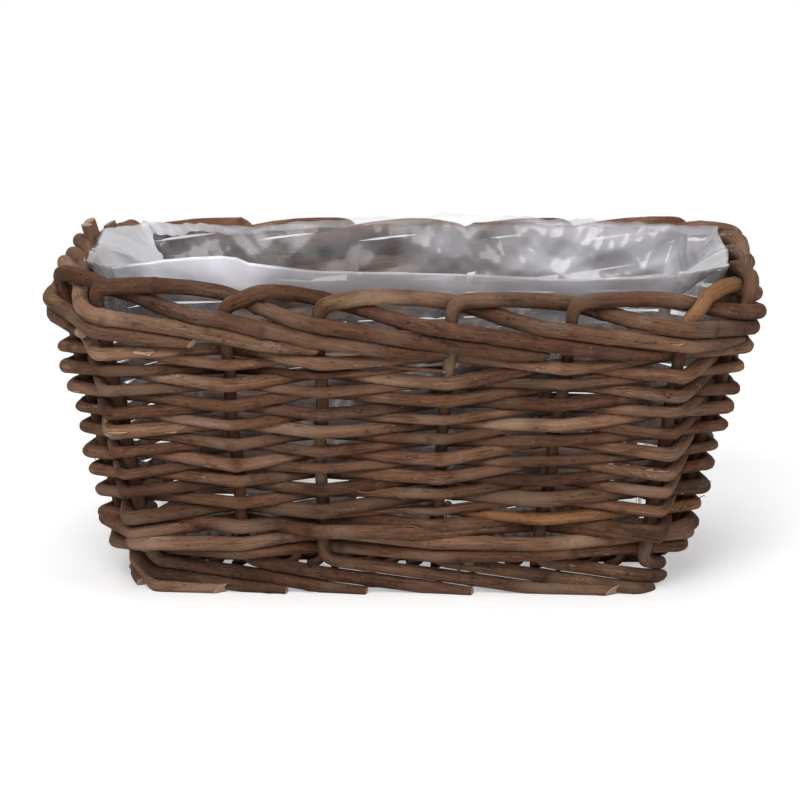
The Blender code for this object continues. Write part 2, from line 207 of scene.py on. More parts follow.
knot_spacing = 0.042
knot_swells = (0.04, 0.30)
knot_lengths = (0.0014, 0.0030)
knot_mark_length = 0.0021
end_cut_length = 0.014
end_ring_shares = (0.80, 0.35)
end_ring_rises = (0.00025, 0.00015)


def squares_between(low, top, count):
    """Square faces between rings of count points; low and top number the rings' first points."""
    here = np.arange(count)
    after = (here + 1) % count
    return np.stack([low + here, low + after, top + after, top + here], -1).reshape(-1, 4)


def rod_shape(path, facing, radius, seed, sides=12, squash=0.0, slant=(0.5, 0.5), knots=1.0, cut_turn=None):
    """Round profile carried along a path, each ring across it. A point's radius is the rod's times
    one plus slow swells, knots and a slight oval, flattened by squash where rods press on each
    other. Both ends are slid to a slant that faces the side cut_turn, and closed by two smaller
    rings and a fan. Gives points, faces, and the rod place, knot mask and tone at each point."""
    chance = np.random.default_rng(seed)
    way = length_along(path)
    ahead = unit(np.gradient(path, axis=0))
    across = unit(np.cross(ahead, facing))
    outward = np.cross(across, ahead)
    turn = np.arange(sides) * (2 * math.pi / sides)
    count = max(2, int(way[-1] / knot_spacing))
    at = (np.arange(count) + chance.random(count)) * way[-1] / count
    side = chance.random(count) * 2 * math.pi
    bulge = chance.uniform(*knot_swells, count) * knots
    long = chance.uniform(*knot_lengths, count)
    near = np.exp(-((way[:, None] - at) / long) ** 2)
    round_it = 0.35 + 0.65 * np.exp(-((np.cos(turn[:, None] - side) - 1) * 1.6) ** 2)
    swell = np.einsum("pk,ak,k->pa", near, round_it, bulge)
    thick = radius * (1 + 0.030 * slow_wave(way, 0.09, chance) + 0.010 * slow_wave(way, 0.018, chance))
    oval = 0.035 * np.sin(turn * 2 + way[:, None] * 19 + chance.random() * 6)
    ring = thick[:, None] * (1 + swell + oval + 0.020 * np.sin(turn * 3 - way[:, None] * 33))
    squash = np.broadcast_to(squash, way.shape)[:, None]
    high = ring * np.sin(turn) * (1 - squash)
    wide = ring * np.cos(turn) * (1 + 0.5 * squash)
    slide = np.zeros_like(ring)
    lean_turn = 0.7 + seed if cut_turn is None else cut_turn
    for end, lean, sign in ((0, slant[0], -1.0), (-1, slant[1], 1.0)):
        fade = np.clip(1 - np.abs(way - way[end]) / end_cut_length, 0, 1)[:, None]
        slide += fade * lean * thick[:, None] * np.cos(turn - lean_turn) * sign
    grid = path[:, None] + outward[:, None] * wide[..., None] + across[:, None] * high[..., None]
    grid = grid + ahead[:, None] * slide[..., None]
    rings = [grid]
    for end, sign in ((0, -1.0), (-1, 1.0)):
        middle = grid[end].mean(0)
        for share, rise in zip(end_ring_shares, end_ring_rises):
            rings.append((middle + (grid[end] - middle) * share + ahead[end] * sign * rise)[None])
    spots = np.concatenate(rings).reshape(-1, 3)
    rows = len(path)
    order = [(k, k + 1) for k in range(rows - 1)]
    order += [(rows + 1, rows), (rows, 0), (rows - 1, rows + 2), (rows + 2, rows + 3)]
    order = np.array(order)
    squares = squares_between(order[:, :1] * sides, order[:, 1:] * sides, sides)
    first = (rows + 1) * sides
    last = (rows + 3) * sides
    threes = np.array([(first, first + k + 1, first + k) for k in range(1, sides - 1)]
                      + [(last, last + k, last + k + 1) for k in range(1, sides - 1)])
    cut = np.r_[np.repeat(order.max(1) >= rows, sides), np.ones(len(threes), bool)].astype(int)
    shift = chance.random(3)[2] * 9
    along = np.concatenate([way, np.repeat(way[[0, -1]], 2)])
    spread = np.concatenate([thick, np.repeat(thick[[0, -1]], 2) * (end_ring_shares * 2)])
    place = np.stack([spread[:, None] * np.cos(turn), spread[:, None] * np.sin(turn),
                      np.repeat(along[:, None], sides, 1)], -1).reshape(-1, 3) + (0, 0, shift)
    knot = np.zeros((rows + 4, sides))
    mark = np.exp(-((way[:, None] - at) / knot_mark_length) ** 2)
    knot[:rows] = np.einsum("pk,ak->pa", mark, round_it ** 3)
    tone = 0.5 + 0.34 * (chance.random() * 2 - 1) + 0.20 * slow_wave(along, 0.16, chance)
    return dict(spots=spots, squares=squares, threes=threes, cut=cut, rod_place=place,
                knot=np.clip(knot, 0, 1).ravel(), tone=np.repeat(tone, sides))


def add_values(mesh, key, values):
    """Values for a material, kept at the points of a mesh: one number or one vector at each."""
    kind, field = ("FLOAT", "value") if values.size == len(mesh.vertices) else ("FLOAT_VECTOR", "vector")
    mesh.attributes.new(key, kind, "POINT").data.foreach_set(field, values.ravel())


def feed(node, inputs):
    """Each input of a shader node gets its number or colour, or a link where a socket is given."""
    for socket, value in inputs.items():
        if isinstance(value, bpy.types.NodeSocket):
            node.id_data.links.new(value, node.inputs[socket])
        else:
            node.inputs[socket].default_value = value


def add_node(tree, kind, inputs=None, give=0, **settings):
    """New node in a shader tree: its settings are made, then its inputs are fed. Gives the output
    asked for, or the first."""
    node = tree.nodes.new("ShaderNode" + kind)
    for setting, value in settings.items():
        setattr(node, setting, value)
    feed(node, inputs or {})
    return node.outputs[give]


def new_finish(name, plain_colour):
    """New material, what adds nodes to it, and its shader. A plain view shows the plain colour."""
    finish = bpy.data.materials.new(name)
    finish.use_nodes = True
    finish.diffuse_color = plain_colour
    return finish, partial(add_node, finish.node_tree), finish.node_tree.nodes["Principled BSDF"]


def build_bark():
    """Bark pattern on the rod's own coordinates: streaks drawn out along the rod, blotches,
    dark checks, pale pores, peeled patches and dark knots, in three given colours. Each mask
    lays one colour over those before it, and the relief is the weighted sum of the masks."""
    group = bpy.data.node_groups.new("willow bark", "ShaderNodeTree")
    for way, sockets in (("INPUT", (("Place", "Vector"), ("Tone", "Float"), ("Knot", "Float"),
                                    ("Bark", "Color"), ("Pale", "Color"), ("Deep", "Color"))),
                         ("OUTPUT", (("Color", "Color"), ("Roughness", "Float"), ("Height", "Float")))):
        for name, kind in sockets:
            group.interface.new_socket(name, in_out=way, socket_type="NodeSocket" + kind)
    given = group.nodes.new("NodeGroupInput").outputs
    result = group.nodes.new("NodeGroupOutput")
    node = partial(add_node, group)

    def stretched(along):
        """The rod's coordinates with the way along it times a share, which draws a pattern out."""
        return node("Mapping", {"Vector": given["Place"], "Scale": (1.0, 1.0, along)})

    def noise(vector, scale, detail, rough=0.6):
        """Cloudy noise from 0 to 1 at a place times a scale."""
        return node("TexNoise", {"Vector": vector, "Scale": scale, "Detail": detail, "Roughness": rough})

    def cells(vector, scale, feature):
        """Distance to the middle or to the edge of scattered cells, at a place times a scale."""
        return node("TexVoronoi", {"Vector": vector, "Scale": scale}, feature=feature)

    def span(value, low, high, start=0.0, end=1.0):
        """The stretch from low to high carried evenly to start and end, and held beyond them."""
        inputs = {"Value": value, "From Min": low, "From Max": high, "To Min": start, "To Max": end}
        return node("MapRange", inputs)

    def worked(operation, one, two):
        """Sum, difference, product or larger of two values."""
        return node("Math", {0: one, 1: two}, operation=operation)

    def product(one, two):
        """One value times another."""
        return worked("MULTIPLY", one, two)

    def mixed(share, one, two):
        """Two colours in proportion: none of the second at share 0, all of it at share 1."""
        return node("Mix", {0: share, 6: one, 7: two}, give=2, data_type="RGBA")

    long = stretched(0.03)
    short = stretched(0.30)
    plain = stretched(1.0)
    fine = noise(long, 1900.0, 4.0, 0.70)
    streak = noise(long, 700.0, 3.0)
    blotch = noise(short, 150.0, 5.0, 0.68)
    hue = noise(plain, 17.0, 2.0)
    grit = noise(plain, 900.0, 3.0)
    check = cells(stretched(0.08), 480.0, "DISTANCE_TO_EDGE")
    pore = cells(short, 520.0, "F1")
    nick = cells(stretched(0.55), 300.0, "F1")
    moss = noise(short, 60.0, 3.0)
    mottle = noise(stretched(0.5), 330.0, 4.0, 0.7)
    scab = span(noise(short, 75.0, 4.0, 0.65), 0.585, 0.63)
    dots = product(span(cells(plain, 900.0, "F1"), 0.16, 0.34, 1.0, 0.0), scab)
    peel = noise(stretched(0.22), 150.0, 3.0, 0.7)
    checks = product(span(check, 0.0, 0.05, 1.0, 0.0), span(blotch, 0.46, 0.62))
    pores = product(span(pore, 0.10, 0.24, 1.0, 0.0), span(grit, 0.50, 0.60))
    nicks = product(span(nick, 0.12, 0.24, 1.0, 0.0), span(grit, 0.45, 0.56))
    bare = worked("ADD", peel, product(given["Tone"], 0.10))
    peeled = span(bare, 0.735, 0.76)
    rim = worked("SUBTRACT", span(bare, 0.705, 0.735), peeled)
    dust = product(span(fine, 0.50, 0.72), span(given["Tone"], 0.1, 0.9, 0.25, 0.70))
    mossy = product(span(moss, 0.60, 0.70), span(grit, 0.40, 0.60, 0.10, 0.50))
    nearly_black = (0.016, 0.007, 0.004, 1.0)
    colour = mixed(span(streak, 0.25, 0.58, 0.25, 1.0), given["Deep"], given["Bark"])
    for share, laid_over in ((span(blotch, 0.44, 0.66, 0.0, 0.72), given["Deep"]),
                             (span(mottle, 0.50, 0.66, 0.0, 0.55), (0.180, 0.062, 0.030, 1.0)),
                             (span(mottle, 0.46, 0.32, 0.0, 0.50), given["Deep"]),
                             (product(scab, 0.35), given["Pale"]),
                             (product(dots, 0.85), nearly_black),
                             (nicks, nearly_black),
                             (span(hue, 0.48, 0.72, 0.0, 0.60), given["Pale"]),
                             (dust, given["Pale"]),
                             (mossy, (0.370, 0.250, 0.120, 1.0)),
                             (peeled, given["Pale"]),
                             (product(worked("MAXIMUM", checks, rim), 0.70), (0.014, 0.007, 0.005, 1.0)),
                             (product(pores, 0.50), (0.30, 0.215, 0.155, 1.0)),
                             (product(given["Knot"], 0.55), (0.020, 0.010, 0.007, 1.0))):
        colour = mixed(share, colour, laid_over)
    lit = span(given["Tone"], 0.0, 1.0, 0.50, 1.45)
    shade = node("HueSaturation", {"Value": lit, "Color": colour})
    rough = worked("SUBTRACT", span(fine, 0.3, 0.7, 0.62, 0.86), product(peeled, 0.16))
    height = product(fine, 0.40)
    for mask, weight in ((streak, 0.50), (checks, -0.35), (pores, 0.12), (peeled, -0.18), (grit, 0.18),
                         (mottle, 0.45), (dots, -0.30)):
        height = worked("ADD", height, product(mask, weight))
    feed(result, {"Color": shade, "Roughness": rough, "Height": height})
    return group


bark_pattern = build_bark()


def bark_finish(name, bark, pale, deep):
    """Unpeeled willow in three given colours, satin, with the bark pattern for colour and relief."""
    finish, node, shader = new_finish(name, (*bark, 1.0))
    pattern = node("Group", node_tree=bark_pattern).node
    for socket, key, output in (("Place", "rod_place", "Vector"), ("Tone", "tone", "Fac"),
                                ("Knot", "knot", "Fac")):
        feed(pattern, {socket: node("Attribute", give=output, attribute_name=key)})
    feed(pattern, {"Bark": (*bark, 1.0), "Pale": (*pale, 1.0), "Deep": (*deep, 1.0)})
    bump = node("Bump", {"Height": pattern.outputs["Height"], "Strength": 0.75, "Distance": 0.0009})
    feed(shader, {"Base Color": pattern.outputs["Color"], "Roughness": pattern.outputs["Roughness"],
                  "Normal": bump, "Specular IOR Level": 0.14})
    return finish


def cut_finish():
    """Pale cut wood at the rod ends: growth rings round the pith plus a little fine grit."""
    finish, node, shader = new_finish("cut_wood", (0.45, 0.33, 0.23, 1.0))
    place = node("Attribute", give="Vector", attribute_name="rod_place")
    flat = node("Mapping", {"Vector": place, "Scale": (1.0, 1.0, 0.0)})
    rings = node("TexWave", {"Vector": flat, "Scale": 260.0, "Distortion": 2.0, "Detail Scale": 2.0},
                 give="Fac", wave_type="RINGS", rings_direction="Z")
    grit = node("TexNoise", {"Vector": place, "Scale": 900.0})
    grain = node("Math", {0: rings, 1: 0.45, 2: grit}, operation="MULTIPLY_ADD")
    wood = node("ValToRGB", {"Fac": grain})
    wood.node.color_ramp.elements[0].color = (0.170, 0.105, 0.064, 1.0)
    wood.node.color_ramp.elements[1].color = (0.430, 0.310, 0.210, 1.0)
    bump = node("Bump", {"Height": grain, "Distance": 0.0004})
    feed(shader, {"Base Color": wood, "Normal": bump, "Roughness": 0.8})
    return finish


cut_wood = cut_finish()
bark_colours = {
    "brown": ((0.135, 0.062, 0.032), (0.305, 0.195, 0.138), (0.048, 0.020, 0.011)),
    "grey": ((0.155, 0.080, 0.045), (0.330, 0.222, 0.155), (0.062, 0.029, 0.017)),
    "dark": ((0.096, 0.041, 0.022), (0.245, 0.146, 0.100), (0.034, 0.014, 0.008)),
    "orange": ((0.330, 0.150, 0.060), (0.500, 0.290, 0.150), (0.140, 0.058, 0.025)),
}
finishes = {"bark_" + tint: bark_finish("willow_" + tint, *colours) for tint, colours in bark_colours.items()}
stake_slots = ("bark_brown", "bark_grey", "bark_brown", "bark_dark", "bark_grey")


def add_piece(name, node, slot, shapes, more=()):
    """One mesh object, riding on the basket in place of its node: the points and faces of its
    shapes one after another. Faces numbered 0 have the slot's bark, 1 the cut wood, 2 more."""
    base = np.cumsum([0] + [len(shape["spots"]) for shape in shapes])
    squares, threes = (np.concatenate([shape[key] + start for shape, start in zip(shapes, base)]).tolist()
                       for key in ("squares", "threes"))
    finish_numbers = np.concatenate([shape["cut"][:len(shape["squares"])] for shape in shapes]
                                    + [shape["cut"][len(shape["squares"]):] for shape in shapes])
    spots = np.concatenate([shape["spots"] for shape in shapes])
    mesh = bpy.data.meshes.new(name)
    mesh.from_pydata(spots.tolist(), [], squares + threes)
    mesh.polygons.foreach_set("material_index", finish_numbers.astype(np.int32))
    mesh.polygons.foreach_set("use_smooth", np.ones(len(finish_numbers), bool))
    for key in ("rod_place", "knot", "tone"):
        add_values(mesh, key, np.concatenate([shape[key] for shape in shapes]))
    for finish in (finishes[slot], cut_wood, *more):
        mesh.materials.append(finish)
    piece = put_in_scene(name, mesh)
    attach(piece, "root")
    if node:
        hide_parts(node)


# Each stop of the border is given by the stakes passed, the border steps out and the steps down.
border_path_shares = ((0.50, -0.30, 0.05), (0.75, -0.70, 0.25), (1.00, -1.00, 0.60), (1.25, -0.80, 1.05),
                      (1.50, 0.08, 1.32), (1.75, 0.86, 1.58), (2.00, 1.00, 1.75),
                      (3.00, 1.00, border_third_fall))
shown_end_fall_share = 1.02
lowest_end_fall = 3.52
border_full_radius = 0.0041
back_border_full_radius = 0.0046
space_height = 0.1
hook_reach = 0.0065
foot_bend_reach = 0.0060
stake_step = 0.0016
stake_bend_radius = 0.0022
# How much lower than the rest a stake bends into the border.
low_hooks = {0: 0.0010, 1: 0.0070, 2: 0.0045, 5: 0.0110, 8: 0.0030, 12: 0.0030, 17: 0.0040}
# Tails with a broad slanting cut: the stakes that they pass, and their thickness at the tip.
blunt_feet = {2: (2.74, 1.05), 18: (2.74, 1.0), 7: (2.5, 1.0), 12: (2.6, 1.0)}
# One hook has lost its bark above this height.
peeled_hook = 5
peeled_hook_height = 0.148


def stake_stops(index):
    """Stops of one stake on the wall, as place, height, way out and radius: the tail rises off
    the ground evenly towards the stake, the upright is straight, hook and border follow."""
    drop = low_hooks.get(index, 0.0)
    full_radius = back_border_full_radius if 8 <= index <= 14 else border_full_radius
    ends = on_stake(np.array((index, index + 1)), np.full(2, space_height))
    space = np.linalg.norm(ends[1] - ends[0])
    tip, thin = blunt_feet.get(index, (2.40 + 0.16 * math.sin(3.1 * index), 0.80))
    stops = []
    for passed, out, full in ((tip, 0.0046, thin), (tip - 0.16, 0.0036, (1 + thin) / 2),
                              (1.97, 0.0012, 1.10), (1.0, 0.0, 1.10)):
        height = max(foot_start - foot_fall * passed, stake_radius * full - worn_depth)
        stops.append((index + passed, height, out, stake_radius * full))
    near = foot_bend_reach / space
    stops += [(index + near, foot_start - foot_fall * near, 0.0, stake_radius),
              (index + near * 0.25, foot_start + 0.0015, 0.0, stake_radius),
              (index, foot_start + 0.0060, 0.0, stake_radius),
              (index, wall_height - 0.0110 - drop, 0.0, stake_radius)]
    near = hook_reach / space
    stops += [(index, wall_height - 0.0055 - drop, 0.0, border_radius),
              (index + near * 0.28, wall_height - 0.0013 - drop, 0.0, full_radius),
              (index + near, wall_height - drop * 0.85, 0.0, full_radius),
              (index + 0.32, wall_height - drop * 0.15, -border_step * 0.15, full_radius)]
    stops += [(index + passed, wall_height - border_step * fall, border_step * out, full_radius)
              for passed, out, fall in border_path_shares]
    end = border_end_share + border_end_spread_share * math.sin(7 * index)
    end_fall = border_third_fall + shown_end_fall_share * (end - 3.0)
    stops += [(index + end, wall_height - border_step * end_fall, border_step, full_radius * 0.90),
              (index + end + 0.34 + 0.12 * math.sin(5 * index), wall_height - border_step * lowest_end_fall,
               border_step * 0.94, full_radius * 0.62)]
    return stops


for index in range(20):
    stops = filled_in(stake_stops(index), 14)
    spots, facing = on_wall(stops[:, 0], stops[:, 1], stops[:, 2])
    rows = eased(np.concatenate([spots, facing, stops[:, 3:]], 1), stake_step, stake_bend_radius)
    way = np.arange(len(rows)) * stake_step
    chance = np.random.default_rng(300 + index)
    free = ramp(rows[:, 2], 0.012, 0.03)
    rows[:, :3] += rows[:, 3:6] * (free * 0.0004 * slow_wave(way, 0.05, chance))[:, None]
    rows[:, 0] += free * 0.0008 * slow_wave(way, 0.07, chance)
    blunt = index in blunt_feet
    shape = rod_shape(rows[:, :3], rows[:, 3:6], rows[:, 6], 300 + index, sides=14,
                      slant=(-1.3 if blunt else -0.15, 0.9), cut_turn=-0.4 if blunt else None)
    shape["spots"][:, 2] = np.maximum(shape["spots"][:, 2], 0.0)
    slot = stake_slots[(index * 3) % 5]
    if index == peeled_hook:
        hook = shape["spots"][shape["squares"][:, 0], 2] > peeled_hook_height
        shape["cut"][:len(hook)][hook & (shape["cut"][:len(hook)] == 0)] = 2
    add_piece("willow_stake_" + stake_names[index], "stake_" + stake_names[index], slot, [shape],
              (finishes["bark_orange"],))


# Wale: three rods laid round just above the foot tails, each before two stakes and behind
# the third, which lock the stakes before the plain weave starts.
wale_raises = (0.0, 0.0016, 0.0012)
wale_full_shares = (1.22, 1.34, 1.36)
weave_clearance = 0.0001
weave_step = 0.0017
weave_bend_radius = 0.0015
common_sway_height = 0.0017


def common_sway(place, height):
    """Slow ups and downs that neighbouring rods share: three sine waves round the basket, whose
    phase turns with height. There are none at the foot and under the border."""
    turn = place * (2 * math.pi / 20)
    share = (height - wale_bottom) / (border_low - wale_bottom)
    wave = (np.sin(turn * 3 + share * 2.2) * 0.5 + np.sin(turn * 7 + 1.3 - share * 4.1) * 0.35
            + np.sin(turn * 11 + 4.0 + share * 5) * 0.25)
    return common_sway_height * wave * np.sin(math.pi * np.clip(share, 0, 1))


def woven_rod(first, last, heights, sides_out, radii, seed):
    """Path of a rod woven round the stakes: it goes evenly from one side of the wall to the other
    between two stakes, its bends are rounded off, and each pass is moved out until it clears its
    stake. The last columns are radius, place, and flatness, one where it crosses the wall."""
    number = np.arange(first, last + 1)
    need = stake_radius + radii + weave_clearance
    outs = need * sides_out
    place = np.linspace(first + 0.03, last - 0.03, (last - first) * 30)
    height = np.interp(place, number, heights)
    height = height + common_sway(place, height)
    radius = np.interp(place, number, radii)
    chance = np.random.default_rng(seed)
    way = place * 0.042
    height = height + np.interp(place, number, chance.uniform(-0.0012, 0.0012, len(number)))
    height = height + 0.00025 * slow_wave(way, 0.07, chance)
    spare = 0.0002 * slow_wave(way, 0.06, chance)
    flat = 1 - np.abs(np.interp(place, number, sides_out))
    for attempt in range(5):
        spots, facing = on_wall(place, height, np.interp(place, number, outs) + spare)
        rows = np.concatenate([spots, facing, radius[:, None], place[:, None], flat[:, None]], 1)
        rows = eased(rows, weave_step, weave_bend_radius)
        foot = foot_places[number % 20]
        rise = unit(stake_rises)[number % 20]
        reach = rows[:, None, :3] - foot
        gap = np.linalg.norm(reach - rise * (reach * rise).sum(-1, keepdims=True), axis=-1)
        gap = np.where(np.abs(rows[:, 7:8] - number) < 0.5, gap, 1.0).min(0)
        outs = outs * np.clip(need / gap, 0.9, 1.6)
    return rows


for number in range(wale_count):
    first = 6 * number
    while (first + number) % 3 != 2 or first % 20 in corner_stakes:
        first += 1
    count = np.arange(first, first + 21)
    sides_out = np.where((count + number) % 3 == 2, -1.0, 1.0)
    sides_out[-1] = -1.0
    heights = np.full(21, wale_bottom + wale_pitch * (number + 0.5) + wale_raises[number])
    radii = np.full(21, wale_radius * wale_full_shares[number])
    rows = woven_rod(first, first + 20, heights, sides_out, radii, 400 + number)
    flatness = np.clip(rows[:, 8], 0, 1)
    shape = rod_shape(rows[:, :3], rows[:, 3:6], rows[:, 6], 400 + number, squash=0.10 * flatness)
    slot = ("bark_brown", "bark_grey", "bark_dark")[number]
    add_piece("willow_wale_%d" % (number + 1), "wale_rod_%d" % (number + 1), slot, [shape])


# Plain weave: single willow rods laid round, in front of one stake and behind the next. Two
# pairs of short packing rods taper out, so that the rows climb towards the right.
rows_high = 18
row_pitch = (border_low - border_radius - rod_play - wale_top) / rows_high
row_settling = 0.0018
row_settling_height = 0.012
weaver_radius = 0.00328
thinnest_share = 0.3
low_fill = np.array([0, 0, 0.34, 0.67, 1, 1, 1, 1, 1, 1, 1, 1, 0.67, 0.34, 0, 0, 0, 0, 0, 0])
layers = ([("row", np.ones(20))] + [("packing", low_fill)] * 2 + [("row", np.ones(20))] * 14
          + [("packing", 1 - low_fill)] * 2 + [("row", np.ones(20))])


def packing_ends(fill):
    """First and last stake of the one stretch where a packing rod isn't too thin."""
    thick = fill >= thinnest_share
    first = int(np.flatnonzero(thick & ~np.roll(thick, 1))[0])
    return first, first + int(thick.sum()) - 1


filled = np.zeros(20)
laid = {"row": 0, "packing": 0}
for number, (kind, fill) in enumerate(layers):
    laid[kind] += 1
    if kind == "row":
        first = (number * 7) % 20
        while (first + number) % 2 == 1 or first % 20 in corner_stakes:
            first += 1
        last = first + 20
        name = "willow_row_%02d" % laid[kind]
        node = "weave_row_%02d" % laid[kind]
    else:
        first, last = packing_ends(fill)
        name = "willow_packing_%d" % laid[kind]
        node = "packing_rod_%d" % laid[kind]
    count = np.arange(first, last + 1)
    share = fill[count % 20]
    heights = wale_top + row_pitch * (filled[count % 20] + 0.5 * share)
    heights = heights - row_settling * np.exp(-((heights - wale_top) / row_settling_height) ** 2)
    sides_out = np.where((count + number) % 2 == 0, -1.0, 1.0)
    stout = 1 + 0.12 * math.sin(number * 2.4 + 0.7) + (0.12 if number in (0, 3, 4) else 0.0)
    rows = woven_rod(first, last, heights, sides_out, weaver_radius * share * stout, 500 + number)
    taper = 1 + 0.05 * np.linspace(1, -1, len(rows))
    flatness = np.clip(rows[:, 8], 0, 1)
    shape = rod_shape(rows[:, :3], rows[:, 3:6], rows[:, 6] * taper, 500 + number,
                      squash=0.04 + 0.10 * flatness)
    slot = ("bark_brown", "bark_grey", "bark_brown", "bark_dark")[(number * 3) % 4]
    if node == "packing_rod_1":
        slot = "bark_orange"
    add_piece(name, node, slot, [shape])
    filled = filled + fill


# Loose ends: three trimmed stubs stand behind the border at the back left corner, and strips of
# bark that split off while the rods were bent curl away from the outside of the weave.
stub_start = 0.150
stub_out = -0.0080
stub_radius = 0.0031
fibre_radius = 0.00045
fibre_out = 0.0090
stubs = ((15.62, 0.1730, 0.0010), (15.95, 0.1765, 0.0015), (16.45, 0.1770, 0.0010))
for number, (place, reach, lean) in enumerate(stubs):
    up = np.linspace(0, 1, 26)
    spots, facing = on_wall(place + 0.05 * up, stub_start + (reach - stub_start) * up, stub_out + lean * up)
    shape = rod_shape(spots, facing, stub_radius, 550 + number, slant=(0.2, 0.25))
    add_piece("willow_stub_%d" % (number + 1), None, "bark_grey", [shape])

# Each strip is given by its place, height, turns and length.
strips = ((2.32, 0.062, 1.0, 0.018), (2.55, 0.041, 1.4, 0.024), (2.78, 0.044, 0.8, 0.020),
          (5.45, 0.058, 1.2, 0.026), (5.62, 0.049, 0.9, 0.022), (5.30, 0.050, 1.3, 0.016),
          (1.40, 0.098, 0.6, 0.012), (4.45, 0.088, 0.7, 0.014), (8.30, 0.070, 1.1, 0.020),
          (12.4, 0.056, 1.2, 0.022), (14.2, 0.092, 0.8, 0.016), (17.5, 0.064, 1.2, 0.020))
fibres = []
for number, (place, height, turns, long) in enumerate(strips):
    chance = np.random.default_rng(570 + number)
    run = np.linspace(0, 1, 40)
    turn = run * turns * 2 * math.pi + chance.random() * 6
    spots, facing = on_wall(place + run * long / 0.045, height + 0.0035 * np.sin(turn) * run,
                            fibre_out + 0.0040 * run * (1 - np.cos(turn)) / 2)
    fibres.append(rod_shape(spots, facing, fibre_radius * (1 - 0.6 * run), 570 + number, sides=6,
                            squash=0.4, knots=0.0))
add_piece("bark_fibres", None, "bark_grey", fibres)


# Base: five willow sticks laid lengthwise, which end just inside the stakes, and one long thin
# rod woven to and fro across them. Its turns show as dark knobs under the wall.
base_stick_radius = 0.0030
base_weaver_radius = 0.0022
base_height = 0.0143
base_pass_pitch = 0.0066
base_turn_length = 0.0028
base_turn_lift = 0.0016
base_stick_shares = np.array((-0.68, -0.34, 0.0, 0.34, 0.68))
base_space = base_stick_shares[3] * foot_half_width
base_need = base_stick_radius + base_weaver_radius + rod_play
base_rise = base_need * base_space / math.sqrt(base_space ** 2 - 4 * base_need ** 2)
base_middle = foot_offset * (1 - base_height / wall_height)
straight_up = (0.0, 0.0, 1.0)


def half_width_inside(x, height, out):
    """Half width of the space inside the wall at places along it, the lesser of front and back."""
    front, _ = on_wall(np.linspace(-1, 6, 700), height, out)
    back, _ = on_wall(np.linspace(16, 9, 700), height, out)
    return np.minimum(-np.interp(x, front[:, 0], front[:, 1]), np.interp(x, back[:, 0], back[:, 1]))


def end_reach(y, height, out, side):
    """How far the space inside the wall goes to one end, at a place across it."""
    places = np.linspace(5, 10, 500) if side > 0 else np.linspace(20, 15, 500)
    edge, _ = on_wall(places, height, out)
    return np.interp(y, edge[:, 1], edge[:, 0])


room = rim_half_length
for number, share in enumerate(base_stick_shares):
    y = share * foot_half_width
    under = base_height - base_stick_radius
    out = -(stake_radius + rod_play)
    edge = abs(y) + base_stick_radius
    right = min(end_reach(edge, under, out, 1), end_reach(-edge, under, out, 1))
    left = max(end_reach(edge, under, out, -1), end_reach(-edge, under, out, -1))
    room = min(room, right - base_middle, base_middle - left)
    path = filled_in([(left, y, base_height), (right, y, base_height)], 120)
    chance = np.random.default_rng(600 + number)
    path[:, 1] += 0.0003 * slow_wave(path[:, 0], 0.09, chance)
    shape = rod_shape(path, straight_up, base_stick_radius, 600 + number, knots=0.5, slant=(0.2, 0.2))
    add_piece("willow_base_stick_%d" % (number + 1), "base_stick_%d" % (number + 1), "bark_dark", [shape])

edge_out = -(stake_radius + rod_play + base_weaver_radius * 1.35)
under = base_height - base_weaver_radius
outer_edge = base_stick_shares[4] * foot_half_width + base_need + base_turn_length
room = room - base_weaver_radius * 4
while half_width_inside(base_middle + np.array((-room, room)), under, edge_out).min() < outer_edge:
    room -= base_pass_pitch * 0.5
pass_count = 2 * int(room / base_pass_pitch) + 1
stops = []
for number in range(pass_count):
    x = base_middle + base_pass_pitch * (number - (pass_count - 1) / 2)
    order = range(5) if number % 2 == 0 else range(4, -1, -1)
    for stick in order:
        over = 1.0 if (stick + number) % 2 == 0 else -1.0
        stops.append((x, base_stick_shares[stick] * foot_half_width, base_height + base_rise * over))
    if number < pass_count - 1:
        reach = half_width_inside(np.array((x, x + base_pass_pitch)), under, edge_out).min()
        side = -1.0 if number % 2 == 1 else 1.0
        over = 1.0 if (order[-1] + number) % 2 == 0 else -1.0
        near = side * (reach - base_turn_length)
        stops += [(x, near, base_height + base_turn_lift * over),
                  (x + base_pass_pitch * 0.5, side * reach, base_height),
                  (x + base_pass_pitch, near, base_height - base_turn_lift * over)]
path = eased(filled_in(stops, 8), 0.0022, 0.0015)
shape = rod_shape(path, straight_up, base_weaver_radius, 650, sides=10, knots=0.5)
add_piece("willow_base_weaver", "base_weaver", "bark_brown", [shape])


# Liner: a bag of thin clear polythene pushed down inside the basket. It stands on the woven
# base, leans crumpled against the wall, and its edge is folded over into a lip that lies wide
# over the left end and hangs narrow elsewhere.
liner_inset = 0.0124
liner_floor = 0.0240
liner_stand = 0.0140
liner_fold_gap = 0.0012
liner_lip_length = 0.0280
liner_lip_fall = 0.0160
liner_pillow = 0.0038
liner_floor_spine = 0.075
film_columns = 1100
wall_rows = 84
lip_rows = 25
floor_rows = 25
